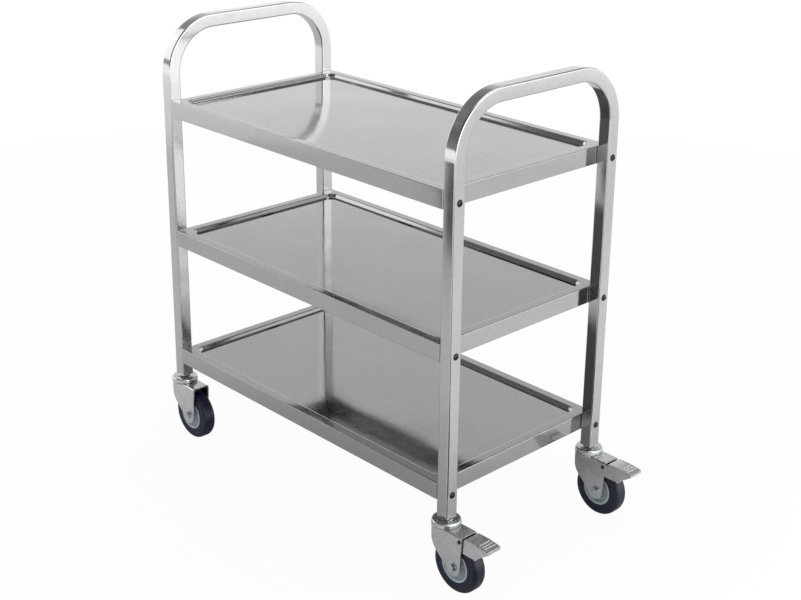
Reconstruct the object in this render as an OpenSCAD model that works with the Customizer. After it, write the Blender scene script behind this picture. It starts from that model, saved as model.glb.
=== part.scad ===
// Three-tier utility cart of stainless steel: two bent tube end frames, three pressed
// trays bolted between them, and four swivel casters, two of them with foot brakes.
// Millimetres, +Z up, +X towards the braked end. The floor is z = 0, and the origin is
// under the middle of the space that the whole cart fills.

/* [End frames] */
// Length over the two end frames
frame_l = 780; // [500:10:1200]
// Width over the end frames
frame_w = 400; // [300:10:600]
// Side of the square tube
tube = 25; // [22:1:32]
// Wall of the square tube
tube_wall = 1.2; // [0.8:0.1:2]
// Outer corner radius of the square tube
tube_corner = 3; // [1.5:0.5:5]
// Outer radius of the bends at the handle
bend_r = 105; // [60:5:130]
// Top of the handle above the top tray's rim
handle_rise = 153; // [140:1:260]

/* [Trays] */
// Thickness of the tray sheet
sheet = 1; // [0.6:0.1:2]
// Height of a tray's skirt, from its rim down to its hem
tray_h = 32; // [28:1:50]
// Width of the flat rim
rim_w = 20; // [12:1:40]
// Depth of the deck below the rim
recess = 7; // [3:0.5:12]
// Corner radius of the recess
recess_corner = 16; // [4:1:40]
// Width of the hem turned in under the skirt
hem_w = 7; // [3:0.5:9]
// Bottom tray's hem above the lower end of the tubes
tray_rise = 28; // [6:1:60]
// Step from the bottom tray up to the middle tray
lower_step = 253; // [150:1:400]
// Step from the middle tray up to the top tray
upper_step = 260; // [150:1:400]

/* [Tray fasteners] */
// Diameter of the tray bolts
bolt_d = 6; // [4:1:8]
// Diameter of the tray bolt heads
bolt_head_d = 12.5; // [10:0.5:16]
// Height of the tray bolt heads
bolt_head_h = 3.3; // [2:0.1:5]
// Tray bolts above a tray's hem
bolt_rise = 14; // [11:0.5:18]
// Width across the flats of the tray nuts
nut_af = 10; // [8:0.5:12]
// Height of the tray nuts
nut_h = 5; // [3:0.5:8]
// Outside diameter of the washers under the tray nuts
washer_d = 12; // [10:0.5:14]
// Thickness of the washers
washer_t = 1.6; // [1:0.1:2.5]
// Length of bolt that shows past a nut
bolt_tail = 2; // [0.5:0.5:5]
// Play round a bolt in its hole
bolt_play = 0.3; // [0.1:0.05:0.6]

/* [Wheels] */
// Diameter over the tyre
wheel_d = 100; // [75:5:150]
// Width of the tyre
tyre_w = 27; // [20:1:40]
// Radius of the tyre's shoulders
tyre_round = 6; // [2:0.5:9]
// Diameter of the hub under the tyre
hub_d = 60; // [50:1:70]
// Height of the ridge that keeps the tyre on the hub
ridge_h = 1.5; // [0.5:0.5:3]
// Width of the ridge
ridge_w = 10; // [6:1:14]
// Thickness of the hub's rim
hub_rim = 4; // [2.5:0.5:6]
// Thickness of the hub's web
web_t = 8; // [4:0.5:14]
// Diameter of the hub's boss
boss_d = 24; // [20:1:32]
// Play between the boss and each leg of the fork
boss_play = 0.5; // [0.3:0.1:1]
// Diameter of the axle bolt
axle_d = 8; // [6:1:12]
// Wall of the bush that the hub turns on
bush_wall = 2; // [1:0.5:3]
// Running play round the bush, and between fork and stem
run_play = 0.05; // [0.02:0.01:0.1]

/* [Forks] */
// Axle behind the swivel axis
trail = 34; // [24:1:44]
// Gap between the tyre and the crown of the fork
top_gap = 11; // [9:0.5:30]
// Thickness of the fork's legs
leg_t = 2.5; // [1.5:0.5:4]
// Thickness of the fork's crown
crown_t = 3; // [2.5:0.5:5]
// Outer radius of the bends between crown and legs
fork_bend = 4; // [3:0.5:6]
// Diameter of the swivel bearing
race_d = 51; // [46:1:64]
// Back of the crown, behind the swivel axis
crown_back = 52; // [48:1:56]
// Back of a leg at its widest, behind the swivel axis
leg_back = 55; // [54:1:60]
// Height of the slope at the back of the crown
back_slope = 6; // [3:0.5:8]
// Front of a leg's top, ahead of the swivel axis
leg_front = 17; // [12:1:20]
// Front of a leg at its knee, ahead of the swivel axis
knee_front = 11; // [6:1:16]
// Knee of a leg above the axle
knee_rise = 25; // [20:1:32]
// Radius of a leg's lower end
leg_end_r = 17; // [12:0.5:20]
// Width across the flats of the axle bolt's head and nut
axle_af = 13; // [10:1:19]
// Height of the axle bolt's head
axle_head_h = 5.3; // [4:0.1:8]
// Height of the axle nut
axle_nut_h = 6.5; // [4:0.5:10]

/* [Swivel bearings] */
// Diameter of the bearing balls
ball_d = 4.8; // [3.6:0.1:6]
// Number of balls in a bearing
balls = 14; // [8:1:15]
// Play round a ball in its grooves
ball_play = 0.3; // [0.2:0.05:0.4]
// Height of the lower race on the crown
pad_h = 4; // [3.5:0.5:6]
// Gap between the lower race and the upper race
race_gap = 2; // [1.5:0.1:2.4]
// Thickness of the upper race
race_t = 3.5; // [3:0.5:6]
// Radius of the upper race's shoulder
shoulder_r = 3; // [1:0.5:4]
// Wall of the lip round the balls
lip_t = 1.5; // [1:0.5:2]
// Gap between the lip and the crown
lip_gap = 0.6; // [0.4:0.1:1.2]
// Gap between the lip and the lower race
pad_gap = 1.2; // [0.8:0.1:2]

/* [Stems] */
// Diameter of the stem
stem_d = 12; // [10:1:13]
// Diameter of the stem's head under the crown
stem_head_d = 20; // [17:1:26]
// Height of the stem's head
stem_head_h = 5; // [3:0.5:7]
// Gap between the stem's head and the crown
stem_head_gap = 0.4; // [0.3:0.1:1]
// Width across the flats of the stem nut
stem_nut_af = 19; // [17:1:22]
// Height of the stem nut
stem_nut_h = 4; // [3:0.5:8]
// Thickness of the socket's flange under the tube
flange_t = 1.5; // [1:0.5:4]
// Length of the socket inside the tube
socket_l = 18; // [10:1:20]
// Play between the socket and the tube's wall
socket_play = 0.1; // [0.05:0.05:0.4]

/* [Foot brakes] */
// Brake pivot behind the swivel axis
pivot_x = 49; // [46:0.5:50]
// Brake pivot below the crown
pivot_drop = 6; // [5.9:0.1:9]
// Diameter of the brake pin
pin_d = 5; // [4:0.5:6]
// Height of the brake pin's rivet heads
pin_head_h = 1.5; // [1:0.5:3]
// Diameter of the brake pin's rivet heads
pin_head_d = 7; // [6.5:0.5:9]
// Thickness of the pedal's sheet
pedal_t = 1.8; // [1.2:0.1:2.4]
// Gap between the tyre and the pedal's cheeks
tyre_gap = 0.6; // [0.4:0.1:2]
// Gap between the pedal's cheeks and the fork's legs
cheek_gap = 0.4; // [0.3:0.1:1]
// Radius of the cheeks round the pin
cheek_r = 4.2; // [3.8:0.1:5]
// Depth of the cheeks below the tread plate
cheek_h = 29; // [24:1:32]
// Gap between the crown and the tread plate
plate_gap = 4; // [3:0.5:6]
// Length of the curled start of the tread plate
plate_curl = 8; // [6:0.5:12]
// Drop of the curled start of the tread plate
curl_drop = 5; // [2:0.5:6]
// Length of the level part of the tread plate
plate_flat = 24; // [18:1:30]
// Tip of the pedal behind the swivel axis
pedal_reach = 110; // [100:1:140]
// Fall of the tread plate from its level part to its tip
pedal_fall = 3; // [0:0.5:8]
// Depth of the lip at the tip
pedal_lip = 4; // [2:0.5:8]
// Thickness of the brake shoe
shoe_t = 3; // [2:0.5:5]
// Lower edge of the brake shoe round the tyre, above level
shoe_low = 33; // [28:1:40]
// Upper edge of the brake shoe round the tyre, above level
shoe_high = 62; // [50:1:66]
// Gap that the locked shoe leaves over the tyre
shoe_gap = 0.3; // [0.2:0.1:0.6]
// Angle from free to locked
lock_angle = 8; // [6:0.5:9]

/* [Hidden] */

$fn = 64;
eps = 0.01;
past = 1;

// Corners of the cart as [end, side]: right end is +X, front side is -Y
right_front = [1, -1];
right_rear = [1, 1];
left_front = [-1, -1];
left_rear = [-1, 1];
corners = [right_front, right_rear, left_front, left_rear];

// Heights of a caster, from the floor up
wheel_r = wheel_d / 2;
crown_z = wheel_d + top_gap;
crown_top = crown_z + crown_t;
pad_top = crown_top + pad_h;
race_z = pad_top + race_gap;
race_top = race_z + race_t;
socket_z = race_top + stem_nut_h;
leg_end_z = socket_z + flange_t;

// Heights of the frame and trays
bottom_tray_z = leg_end_z + tray_rise;
middle_tray_z = bottom_tray_z + lower_step;
top_tray_z = middle_tray_z + upper_step;
tray_zs = [bottom_tray_z, middle_tray_z, top_tray_z];
handle_z = top_tray_z + tray_h + handle_rise;
bend_z = handle_z - bend_r;

// The middle of the frame stands off the origin, because the casters trail to +X
post_x = frame_l / 2 - tube / 2;
post_y = frame_w / 2 - tube / 2;
high_x = max(frame_l / 2 + bolt_head_h, post_x + race_d / 2, post_x + trail + wheel_r, post_x + pedal_reach);
low_x = -max(frame_l / 2 + bolt_head_h, post_x + race_d / 2, post_x - trail + wheel_r);
mid_x = -(low_x + high_x) / 2;

// Wheel, pedal and fork, from the middle of the tyre outwards
cheek_in = tyre_w / 2 + tyre_gap;
cheek_out = cheek_in + pedal_t;
fork_in = cheek_out + cheek_gap;
fork_out = fork_in + leg_t;
bush_d = axle_d + 2 * bush_wall;
axle = [trail, wheel_r];

// Swivel bearing, from its lip inwards
pad_d = race_d - 2 * lip_t - 2 * pad_gap;
groove_r = ball_d / 2 + ball_play;
ball_ring_r = pad_d / 2 - groove_r - lip_t;
ball_z = pad_top + race_gap / 2;
lip_z = crown_top + lip_gap;

// Pedal, seen along Y
pivot = [pivot_x, crown_z - pivot_drop];
plate_x = crown_back + plate_gap;
plate_top = crown_top;
tip_z = plate_top - pedal_fall;

// Square with rounded corners, centred
module round_square(side_x, side_y, r) {
    square([side_x - 2 * r, side_y], center = true);
    square([side_x, side_y - 2 * r], center = true);
    for (sx = [-1, 1], sy = [-1, 1])
        translate([sx * (side_x / 2 - r), sy * (side_y / 2 - r)]) circle(r);
}

// Hexagonal prism with a round hole, along +Z
module hex_ring(across_flats, hole_d, h) {
    difference() {
        cylinder(d = across_flats / cos(30), h = h, $fn = 6);
        translate([0, 0, -past]) cylinder(d = hole_d, h = h + 2 * past);
    }
}

// Point where the tangent from p meets a circle about c, on the side given by turn
function tangent_point(p, c, r, turn) =
    let (d = norm(p - c), a = acos(r / d), b = atan2(p[1] - c[1], p[0] - c[0]))
    c + r * [cos(b + turn * a), sin(b + turn * a)];

// Moves a caster's own frame, with the swivel axis on Z, to a corner of the cart
module at_corner(corner) {
    translate([mid_x + corner[0] * post_x, corner[1] * post_y, 0]) children();
}

// Turns a Y-symmetric piece so that its bolt head faces away from the cart
module facing_out(corner) {
    mirror([0, corner[1] > 0 ? 1 : 0, 0]) children();
}

// Places a piece drawn along +Z on a line along +Y through the axle
module on_axle() {
    translate([axle[0], 0, axle[1]]) rotate([-90, 0, 0]) children();
}

// Turns a plan of X and Z upright and makes it a slab between two places on Y
module slab(y_low, y_high) {
    translate([0, y_high, 0]) rotate([90, 0, 0]) linear_extrude(y_high - y_low) children();
}

// Bent tube as a solid: two legs, two bends and the handle, standing in the YZ plane
module u_solid(side, r_corner, low) {
    leg_y = frame_w / 2 - tube / 2;
    bend_y = frame_w / 2 - bend_r;
    for (s = [-1, 1]) {
        translate([0, s * leg_y, low]) linear_extrude(bend_z - low) round_square(side, side, r_corner);
        mirror([0, s > 0 ? 0 : 1, 0])
            translate([0, bend_y, bend_z]) rotate([90, 0, 90])
                rotate_extrude(angle = 90) translate([bend_r - tube / 2, 0])
                    round_square(side, side, r_corner);
    }
    translate([0, -bend_y, handle_z - tube / 2]) rotate([-90, 0, 0])
        linear_extrude(2 * bend_y) round_square(side, side, r_corner);
}

// Places a child at every tray bolt of one end, along the way the bolt points
module at_tray_bolts(end) {
    for (z = tray_zs, sy = [-1, 1])
        translate([mid_x + end * frame_l / 2, sy * post_y, z + bolt_rise])
            rotate([0, -90 * end, 0]) children();
}

module end_frame(end) {
    inner = tube - 2 * tube_wall;
    difference() {
        translate([mid_x + end * post_x, 0, 0]) u_solid(tube, tube_corner, leg_end_z);
        translate([mid_x + end * post_x, 0, 0])
            u_solid(inner, max(tube_corner - tube_wall, 0.2), leg_end_z - past);
        at_tray_bolts(end) translate([0, 0, -past])
            cylinder(d = bolt_d + 2 * bolt_play, h = tube + 2 * past);
    }
}

module right_end_frame() {
    color("gainsboro") end_frame(1);
}

module left_end_frame() {
    color("gainsboro") end_frame(-1);
}

// Tray of bent sheet: rim, deck sunk below it, skirt and hem, with its hem at z = 0
module tray() {
    l = frame_l - 2 * tube;
    w = frame_w;
    deck_top = tray_h - recess;
    deck_l = l - 2 * rim_w;
    deck_w = w - 2 * rim_w;
    difference() {
        linear_extrude(tray_h) round_square(l, w, 2);
        translate([0, 0, deck_top]) linear_extrude(recess + past)
            round_square(deck_l, deck_w, recess_corner);
        difference() {
            translate([0, 0, sheet]) linear_extrude(tray_h - 2 * sheet)
                square([l - 2 * sheet, w - 2 * sheet], center = true);
            translate([0, 0, deck_top - sheet]) linear_extrude(tray_h)
                round_square(deck_l + 2 * sheet, deck_w + 2 * sheet, recess_corner + sheet);
        }
        translate([0, 0, -past]) linear_extrude(sheet + 2 * past)
            square([l - 2 * hem_w, w - 2 * hem_w], center = true);
        for (end = [-1, 1], sy = [-1, 1])
            translate([end * (l / 2 + past), sy * post_y, bolt_rise]) rotate([0, -90 * end, 0])
                cylinder(d = bolt_d + 2 * bolt_play, h = sheet + 2 * past);
    }
}

module top_tray() {
    color("lightgrey") translate([mid_x, 0, top_tray_z]) tray();
}

module middle_tray() {
    color("lightgrey") translate([mid_x, 0, middle_tray_z]) tray();
}

module bottom_tray() {
    color("lightgrey") translate([mid_x, 0, bottom_tray_z]) tray();
}

// Screw with a low domed head outside the tube, through tube, skirt, washer and nut
module tray_bolt() {
    dome_r = (pow(bolt_head_d / 2, 2) + pow(bolt_head_h, 2)) / (2 * bolt_head_h);
    intersection() {
        translate([0, 0, dome_r - bolt_head_h]) sphere(dome_r);
        translate([0, 0, -bolt_head_h]) cylinder(d = bolt_head_d, h = bolt_head_h);
    }
    translate([0, 0, -eps])
        cylinder(d = bolt_d, h = tube + sheet + washer_t + nut_h + bolt_tail + eps);
}

module tray_bolts() {
    color("silver") for (end = [-1, 1]) at_tray_bolts(end) tray_bolt();
}

module tray_washers() {
    color("silver") for (end = [-1, 1]) at_tray_bolts(end)
        translate([0, 0, tube + sheet]) difference() {
            cylinder(d = washer_d, h = washer_t);
            translate([0, 0, -past]) cylinder(d = bolt_d + 2 * bolt_play, h = washer_t + 2 * past);
        }
}

module tray_nuts() {
    color("silver") for (end = [-1, 1]) at_tray_bolts(end)
        translate([0, 0, tube + sheet + washer_t]) hex_ring(nut_af, bolt_d, nut_h);
}

// Threaded plug pressed into the lower end of each tube
module stem_sockets() {
    plug = tube - 2 * tube_wall - 2 * socket_play;
    color("silver") for (corner = corners) at_corner(corner) difference() {
        union() {
            translate([0, 0, socket_z]) linear_extrude(flange_t) round_square(tube, tube, tube_corner);
            translate([0, 0, socket_z]) linear_extrude(flange_t + socket_l)
                round_square(plug, plug, max(tube_corner - tube_wall, 0.2));
        }
        translate([0, 0, socket_z - past]) cylinder(d = stem_d, h = flange_t + socket_l + 2 * past);
    }
}

module stem_nuts() {
    color("silver") for (corner = corners) at_corner(corner)
        translate([0, 0, race_top]) hex_ring(stem_nut_af, stem_d, stem_nut_h);
}

// King bolt: its head carries the fork, and its thread holds the caster in the tube
module stem(corner) {
    head_z = crown_z - stem_head_gap - stem_head_h;
    color("silver") at_corner(corner) {
        translate([0, 0, head_z]) cylinder(d = stem_head_d, h = stem_head_h);
        translate([0, 0, head_z]) cylinder(d = stem_d, h = leg_end_z + socket_l - head_z);
    }
}

// Ring that the balls run in, cut out of both races
module ball_groove() {
    translate([0, 0, ball_z]) rotate_extrude() translate([ball_ring_r, 0]) circle(groove_r);
}

// Upper race: a dish that is fixed to the stem and covers the balls
module race(corner) {
    flat_r = race_d / 2 - shoulder_r;
    color("lightgrey") at_corner(corner) difference() {
        rotate_extrude() difference() {
            union() {
                translate([0, lip_z]) square([race_d / 2, race_top - shoulder_r - lip_z]);
                translate([0, lip_z]) square([flat_r, race_top - lip_z]);
                translate([flat_r, race_top - shoulder_r]) circle(shoulder_r);
            }
            translate([-past, lip_z - past])
                square([race_d / 2 - lip_t + past, race_z - lip_z + past]);
            translate([-past, race_z - past]) square([stem_d / 2 + past, race_t + 2 * past]);
        }
        ball_groove();
    }
}

module ball_set(corner) {
    color("silver") at_corner(corner) for (i = [0:balls - 1])
        rotate([0, 0, i * 360 / balls]) translate([ball_ring_r, 0, ball_z]) sphere(d = ball_d);
}

// Fork seen along Y: a slope at the back, a knee in front, and a round end about the axle
module fork_outline() {
    knee = axle + [-trail - knee_front, knee_rise];
    back = [leg_back, crown_top - back_slope];
    polygon([
        [-leg_front, crown_top],
        knee,
        tangent_point(knee, axle, leg_end_r, 1),
        axle,
        tangent_point(back, axle, leg_end_r, -1),
        back,
        [crown_back, crown_top]
    ]);
    translate(axle) circle(leg_end_r);
}

// Fork seen along X: crown and legs as one bent sheet, open below
module fork_section() {
    tall = crown_top + wheel_d;
    difference() {
        translate([0, crown_top - tall / 2]) round_square(2 * fork_out, tall, fork_bend);
        translate([0, crown_z - tall / 2]) round_square(2 * fork_in, tall, fork_bend - leg_t + past / 2);
    }
}

// Fork pressed from one sheet, with the lower race on it, and pin holes if it has a brake
module fork(corner, braked) {
    color("gainsboro") at_corner(corner) difference() {
        union() {
            intersection() {
                slab(-fork_out - past, fork_out + past) fork_outline();
                translate([-race_d, 0, 0]) rotate([90, 0, 90])
                    linear_extrude(race_d + 2 * leg_back) fork_section();
            }
            translate([0, 0, crown_z]) cylinder(d = race_d, h = crown_t);
            translate([0, 0, crown_z]) cylinder(d = pad_d, h = crown_t + pad_h);
        }
        ball_groove();
        translate([0, 0, crown_z - past])
            cylinder(d = stem_d + 2 * run_play, h = crown_t + pad_h + 2 * past);
        on_axle() translate([0, 0, -fork_out - past]) cylinder(d = axle_d, h = 2 * (fork_out + past));
        if (braked)
            slab(-fork_out - past, fork_out + past) translate(pivot) circle(d = pin_d);
    }
}

// Axle bolt with its head on the outer side of the cart
module axle_bolt(corner) {
    color("silver") at_corner(corner) facing_out(corner) on_axle() {
        translate([0, 0, -fork_out - axle_head_h])
            cylinder(d = axle_af / cos(30), h = axle_head_h, $fn = 6);
        translate([0, 0, -fork_out - eps])
            cylinder(d = axle_d, h = 2 * fork_out + axle_nut_h + bolt_tail + eps);
    }
}

module axle_nut(corner) {
    color("silver") at_corner(corner) facing_out(corner) on_axle()
        translate([0, 0, fork_out]) hex_ring(axle_af, axle_d, axle_nut_h);
}

module axle_bush(corner) {
    color("silver") at_corner(corner) on_axle() difference() {
        translate([0, 0, -fork_in]) cylinder(d = bush_d, h = 2 * fork_in);
        translate([0, 0, -fork_in - past]) cylinder(d = axle_d, h = 2 * (fork_in + past));
    }
}

// Outside of the hub's rim, with the ridge that the tyre is moulded over
module rim_outline(grow_out) {
    translate([0, -tyre_w / 2]) square([hub_d / 2 + grow_out, tyre_w]);
    translate([0, -ridge_w / 2]) square([hub_d / 2 + ridge_h + grow_out, ridge_w]);
}

module hub(corner) {
    color("darkgrey") at_corner(corner) on_axle() rotate_extrude($fn = 96) difference() {
        union() {
            difference() {
                rim_outline(0);
                translate([-past, -tyre_w / 2 - past])
                    square([hub_d / 2 - hub_rim + past, tyre_w + 2 * past]);
            }
            translate([0, -web_t / 2]) square([hub_d / 2 - hub_rim + eps, web_t]);
            translate([0, -fork_in + boss_play]) square([boss_d / 2, 2 * (fork_in - boss_play)]);
        }
        translate([-past, -fork_in - past]) square([bush_d / 2 + run_play + past, 2 * (fork_in + past)]);
    }
}

module tyre(corner) {
    color("midnightblue") at_corner(corner) on_axle() rotate_extrude($fn = 128) difference() {
        translate([wheel_r / 2, 0]) round_square(wheel_r, tyre_w, tyre_round);
        rim_outline(0);
    }
}

// Tread plate seen along Y, below its top by drop: curled start, level part, fall to the tip
function tread_line(drop) = [
    [plate_x, plate_top - curl_drop - drop],
    [plate_x + plate_curl, plate_top - drop],
    [plate_x + plate_curl + plate_flat, plate_top - drop],
    [pedal_reach, tip_z - drop]
];

// Tread plate with a lip that hangs from its tip
module tread_outline() {
    top = tread_line(0);
    under = tread_line(pedal_t);
    polygon([top[0], top[1], top[2], top[3], under[3], under[2], under[1], under[0]]);
    translate([pedal_reach - pedal_t, tip_z - pedal_t - pedal_lip]) square([pedal_t, pedal_t + pedal_lip]);
}

// Cheek of the pedal, from the pin along the side of the tyre to the tip
module cheek_outline() {
    under = tread_line(pedal_t - eps);
    low_z = plate_top - cheek_h;
    difference() {
        union() {
            translate(pivot) circle(cheek_r);
            polygon([
                pivot + [-cheek_r, 0],
                [pivot_x - cheek_r / 2, low_z],
                [plate_x + plate_flat, low_z],
                [pedal_reach - pedal_t / 2, tip_z - pedal_t - pedal_lip],
                under[3],
                under[2],
                under[1],
                under[0],
                pivot + [0, cheek_r]
            ]);
        }
        translate(pivot) circle(pin_d / 2 + run_play);
    }
}

module pedal(corner) {
    color("gainsboro") at_corner(corner) {
        slab(-cheek_out, cheek_out) tread_outline();
        slab(-cheek_out, -cheek_in) cheek_outline();
        slab(cheek_in, cheek_out) cheek_outline();
    }
}

// Shoe between the cheeks, round about the tyre as it lies when locked
module brake_shoe(corner) {
    color("dimgrey") at_corner(corner)
        translate([pivot[0], 0, pivot[1]]) rotate([0, -lock_angle, 0]) translate([-pivot[0], 0, -pivot[1]])
            translate([axle[0], 0, axle[1]]) rotate([90, 0, 0]) rotate([0, 0, shoe_low])
                rotate_extrude(angle = shoe_high - shoe_low, $fn = 128)
                    translate([wheel_r + shoe_gap, -cheek_in]) square([shoe_t, 2 * cheek_in]);
}

module pedal_pin(corner) {
    color("silver") at_corner(corner) {
        slab(-fork_out - pin_head_h, fork_out + pin_head_h) translate(pivot) circle(d = pin_d);
        slab(-fork_out - pin_head_h, -fork_out) translate(pivot) circle(d = pin_head_d);
        slab(fork_out, fork_out + pin_head_h) translate(pivot) circle(d = pin_head_d);
    }
}

right_end_frame();
left_end_frame();
top_tray();
middle_tray();
bottom_tray();
tray_bolts();
tray_washers();
tray_nuts();
stem_sockets();
stem_nuts();
stem(right_front);  // stem_right_front
stem(right_rear);  // stem_right_rear
stem(left_front);  // stem_left_front
stem(left_rear);  // stem_left_rear
race(right_front);  // race_right_front
race(right_rear);  // race_right_rear
race(left_front);  // race_left_front
race(left_rear);  // race_left_rear
ball_set(right_front);  // balls_right_front
ball_set(right_rear);  // balls_right_rear
ball_set(left_front);  // balls_left_front
ball_set(left_rear);  // balls_left_rear
fork(right_front, true);  // fork_right_front
fork(right_rear, true);  // fork_right_rear
fork(left_front, false);  // fork_left_front
fork(left_rear, false);  // fork_left_rear
axle_bolt(right_front);  // axle_bolt_right_front
axle_bolt(right_rear);  // axle_bolt_right_rear
axle_bolt(left_front);  // axle_bolt_left_front
axle_bolt(left_rear);  // axle_bolt_left_rear
axle_nut(right_front);  // axle_nut_right_front
axle_nut(right_rear);  // axle_nut_right_rear
axle_nut(left_front);  // axle_nut_left_front
axle_nut(left_rear);  // axle_nut_left_rear
axle_bush(right_front);  // axle_bush_right_front
axle_bush(right_rear);  // axle_bush_right_rear
axle_bush(left_front);  // axle_bush_left_front
axle_bush(left_rear);  // axle_bush_left_rear
hub(right_front);  // hub_right_front
hub(right_rear);  // hub_right_rear
hub(left_front);  // hub_left_front
hub(left_rear);  // hub_left_rear
tyre(right_front);  // tyre_right_front
tyre(right_rear);  // tyre_right_rear
tyre(left_front);  // tyre_left_front
tyre(left_rear);  // tyre_left_rear
pedal(right_front);  // pedal_right_front
pedal(right_rear);  // pedal_right_rear
brake_shoe(right_front);  // brake_shoe_right_front
brake_shoe(right_rear);  // brake_shoe_right_rear
pedal_pin(right_front);  // pedal_pin_right_front
pedal_pin(right_rear);  // pedal_pin_right_rear
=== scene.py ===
import logging
import math
from collections.abc import Iterable, Sequence
from dataclasses import dataclass, field
from enum import Enum

import bmesh
import bpy
from bmesh.types import BMesh, BMEdge, BMFace, BMVert
from bpy.types import Material, Mesh, Node, NodeSocket, NodeTree, Object
from mathutils import Matrix, Vector


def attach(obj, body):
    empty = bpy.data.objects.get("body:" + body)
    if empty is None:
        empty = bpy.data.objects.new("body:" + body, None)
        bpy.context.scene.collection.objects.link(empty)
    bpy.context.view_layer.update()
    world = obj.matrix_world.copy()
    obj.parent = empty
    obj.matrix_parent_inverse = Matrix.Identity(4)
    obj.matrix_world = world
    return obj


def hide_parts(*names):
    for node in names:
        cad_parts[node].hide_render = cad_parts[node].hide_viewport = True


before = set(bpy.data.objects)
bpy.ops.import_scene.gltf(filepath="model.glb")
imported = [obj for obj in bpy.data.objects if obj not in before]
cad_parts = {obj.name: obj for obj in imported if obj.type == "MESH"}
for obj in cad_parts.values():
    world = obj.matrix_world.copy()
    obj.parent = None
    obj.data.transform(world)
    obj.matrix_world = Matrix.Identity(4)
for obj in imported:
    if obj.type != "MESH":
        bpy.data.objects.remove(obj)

"""The stainless steel utility cart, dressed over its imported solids.

Lengths are in metres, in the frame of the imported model: +X along the cart towards
the end with the foot brakes, +Y across it, +Z up. Each sub-assembly is a class.
"""

LOG = logging.getLogger("utility_cart")

MID_X = -0.04225
POST_X = 0.3775
POST_Y = 0.1875
TUBE = 0.025
SHEET = 0.001
UP = Vector((0, 0, 1))
ALONG = Vector((1, 0, 0))
ACROSS = Vector((0, 1, 0))
QUARTER = math.pi / 2
WELD = 1e-6


class Corner(Enum):
    """The four corners of the cart, by name, with their sides along X and Y."""

    RIGHT_FRONT = ("right_front", 1, -1)
    RIGHT_REAR = ("right_rear", 1, 1)
    LEFT_FRONT = ("left_front", -1, -1)
    LEFT_REAR = ("left_rear", -1, 1)

    @property
    def label(self) -> str:
        """Name of the corner in the names of its pieces."""
        return self.value[0]

    @property
    def out(self) -> int:
        """Side of the cart that the corner is on, -1 or 1 along Y."""
        return self.value[2]

    @property
    def place(self) -> Vector:
        """Point on the floor under the corner's swivel axis."""
        return Vector((MID_X + self.value[1] * POST_X, self.value[2] * POST_Y, 0))

    @property
    def braked(self) -> bool:
        """Whether the corner's caster has a foot brake."""
        return self.value[1] > 0


class Tier(Enum):
    """The three trays, by node name, with the height of their hems."""

    BOTTOM = ("bottom_tray", 0.157)
    MIDDLE = ("middle_tray", 0.410)
    TOP = ("top_tray", 0.670)


class Run(Enum):
    """Direction that a finish's grain runs in."""

    ALONG_X = (0.02, 1.0, 1.0)
    ALONG_Z = (1.0, 1.0, 0.02)
    NONE = (1.0, 1.0, 1.0)


# Shader nodes

def add(tree: NodeTree, kind: str, inputs: dict[str | int, object] | None = None,
        **settings: object) -> Node:
    """Add a shader node.

    Args:
        tree: node tree that it goes in.
        kind: its type, without "ShaderNode" in front.
        inputs: the socket or value that each input takes, by its name or place.
        settings: the node's own settings.

    Returns:
        The node.
    """
    node = tree.nodes.new(f"ShaderNode{kind}")
    for name, value in settings.items():
        setattr(node, name, value)
    for key, value in (inputs or {}).items():
        if isinstance(value, NodeSocket):
            tree.links.new(value, node.inputs[key])
        else:
            node.inputs[key].default_value = value
    return node


def noise(tree: NodeTree, place: NodeSocket, scale: float | NodeSocket, detail: float = 2.0,
          rough: float = 0.5) -> Node:
    """Add a noise texture that reads the given place, and return its node."""
    return add(tree, "TexNoise",
               {"Scale": scale, "Detail": detail, "Roughness": rough, "Vector": place})


def maths(tree: NodeTree, operation: str, *values: NodeSocket | float,
          clamp: bool = False) -> NodeSocket:
    """Combine sockets or numbers by a math node, and return its socket."""
    return add(tree, "Math", dict(enumerate(values)), operation=operation,
               use_clamp=clamp).outputs[0]


def spread(tree: NodeTree, value: NodeSocket, low: float, high: float, to_low: float = 0.0,
           to_high: float = 1.0) -> NodeSocket:
    """Map a value smoothly from one range to another, and return the socket."""
    return add(tree, "MapRange", {"Value": value, "From Min": low, "From Max": high,
                                            "To Min": to_low, "To Max": to_high},
               interpolation_type="SMOOTHSTEP").outputs["Result"]


def greys(tree: NodeTree, value: NodeSocket, stops: Sequence[tuple[float, float]],
          interpolation: str = "LINEAR") -> NodeSocket:
    """Turn a value into greys.

    Args:
        tree: node tree that the ramp goes in.
        value: the value.
        stops: each level, after the value that it stands at.
        interpolation: how the ramp runs between them.

    Returns:
        The socket of the grey.
    """
    node = add(tree, "ValToRGB", {"Fac": value})
    node.color_ramp.interpolation = interpolation
    line = node.color_ramp.elements
    while len(line) < len(stops):
        line.new(0.5)
    for element, (at, level) in zip(line, stops):
        element.position = at
        element.color = (level, level, level, 1.0)
    return node.outputs["Color"]


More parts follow.
